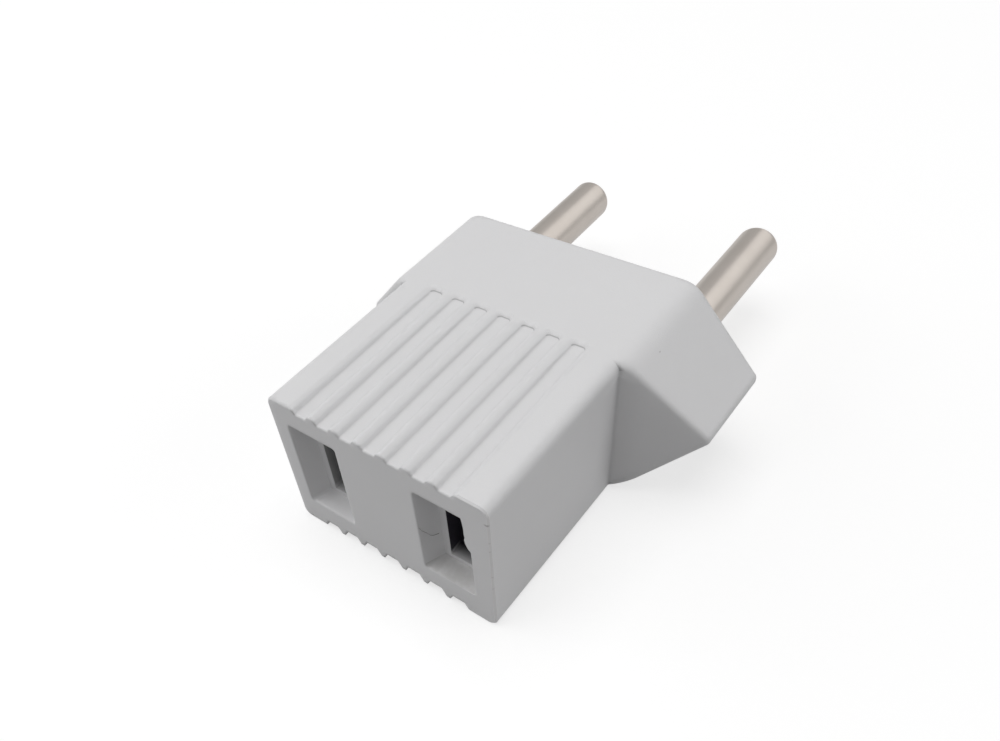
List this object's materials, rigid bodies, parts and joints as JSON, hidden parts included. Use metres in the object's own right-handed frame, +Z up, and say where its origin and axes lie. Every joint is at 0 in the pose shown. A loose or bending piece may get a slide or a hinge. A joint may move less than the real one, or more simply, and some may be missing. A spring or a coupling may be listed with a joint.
{
  "type": "plug adapter",
  "caption": "White travel plug adapter: a ribbed box with a socket for flat blades at one end and a flared six-sided plug end with round pins at the other.",
  "frame": {"origin": "below the middle of the whole length, on the surface that the adapter lies on", "axes": "+Y the way the pins point, +X across the two pins, +Z up from the grooved bottom that it lies on"},
  "size_m": [0.035, 0.0476, 0.0147],
  "materials": {
    "housing_plastic": "satin moulded white plastic",
    "plate_plastic": "satin moulded white plastic",
    "pin_nickel": "turned brass, satin nickel plate",
    "contact_brass": "folded brass strip, dull"
  },
  "bodies": {
    "root": {"housing": "housing_plastic", "pin_plate": "plate_plastic", "left_pin": "pin_nickel", "right_pin": "pin_nickel", "left_contact": "contact_brass", "right_contact": "contact_brass"}
  },
  "joints": []
}
